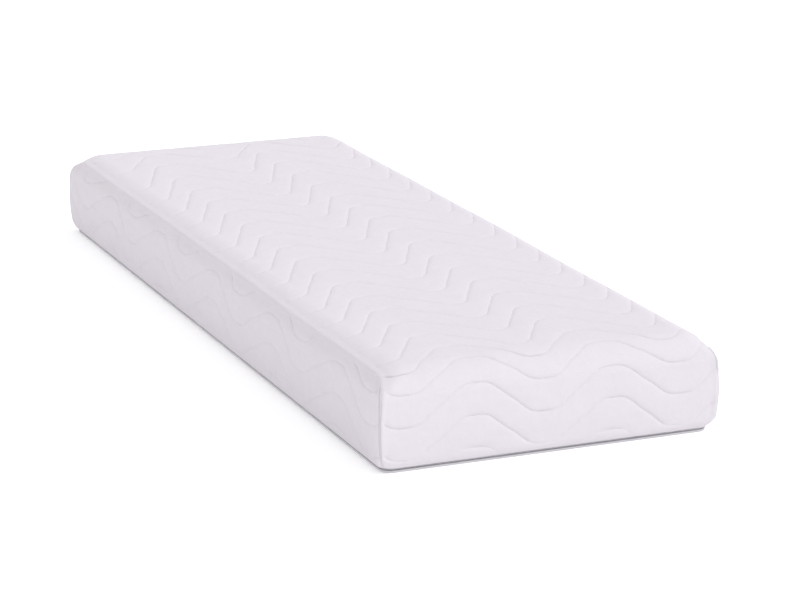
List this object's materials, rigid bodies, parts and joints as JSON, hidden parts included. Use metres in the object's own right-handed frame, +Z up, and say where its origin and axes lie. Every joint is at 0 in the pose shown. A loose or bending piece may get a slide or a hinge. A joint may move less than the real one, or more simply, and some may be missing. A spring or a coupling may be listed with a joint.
{
  "type": "memory foam mattress",
  "caption": "Single memory foam mattress: foam core inside a white quilted knit cover that unzips all round its lower edge and lifts off.",
  "frame": {"origin": "middle of the underside, on the surface that the mattress lies on", "axes": "+X across the bed to the right side, +Y along the bed from the foot end to the head end, +Z up"},
  "size_m": [0.7, 2, 0.2],
  "materials": {
    "knit": "quilted fine knit, matt, with a faint soft sheen",
    "wadding": "bonded polyester fibre fill",
    "backing": "thin non-woven",
    "seam_thread": "polyester sewing thread over turned cloth edge",
    "memory_foam": "open-cell viscoelastic foam, matt",
    "support_foam": "open-cell polyurethane foam, matt",
    "bond": "dried foam adhesive",
    "bottom_cloth": "plain knitted base cloth",
    "zip_tape": "woven polyester tape",
    "zip_coil": "nylon coil",
    "zip_metal": "plated zinc",
    "label": "blank woven satin ribbon"
  },
  "bodies": {
    "core_and_base": {"bottom_panel": "bottom_cloth", "support_foam": "support_foam", "foam_bond": "bond", "memory_foam": "memory_foam", "zip_tape_lower": "zip_tape", "zip_teeth_lower": "zip_coil", "zip_end_stop_lower": "zip_metal", "zip_start_stop_lower": "zip_metal"},
    "cover": {"cover_top_face": "knit", "cover_left_face": "knit", "cover_right_face": "knit", "cover_top_wadding": "wadding", "cover_left_wadding": "wadding", "cover_right_wadding": "wadding", "cover_top_backing": "backing", "cover_left_backing": "backing", "cover_right_backing": "backing", "corner_seam_foot_left": "seam_thread", "corner_seam_foot_right": "seam_thread", "corner_seam_head_left": "seam_thread", "corner_seam_head_right": "seam_thread", "edge_seam_left": "seam_thread", "edge_seam_right": "seam_thread", "care_label": "label", "zip_tape_upper": "zip_tape", "zip_teeth_upper": "zip_coil", "zip_end_stop_upper": "zip_metal", "zip_start_stop_upper": "zip_metal"},
    "zip_slider": {"zip_slider": "zip_metal"},
    "zip_pull": {"zip_pull": "zip_metal"}
  },
  "joints": [
    {"name": "cover_lift", "type": "slide", "parent": "core_and_base", "child": "cover", "axis": [0, 0, 1], "range_m": [0, 0.28]},
    {"name": "zip_run", "type": "slide", "parent": "core_and_base", "child": "zip_slider", "axis": [0, -1, 0], "range_m": [0, 1.85]},
    {"name": "zip_pull_swing", "type": "hinge", "parent": "zip_slider", "child": "zip_pull", "pos_m": [0.341, 0.925, 0.00595], "axis": [0, 0, -1], "range_deg": [0, 180]}
  ]
}
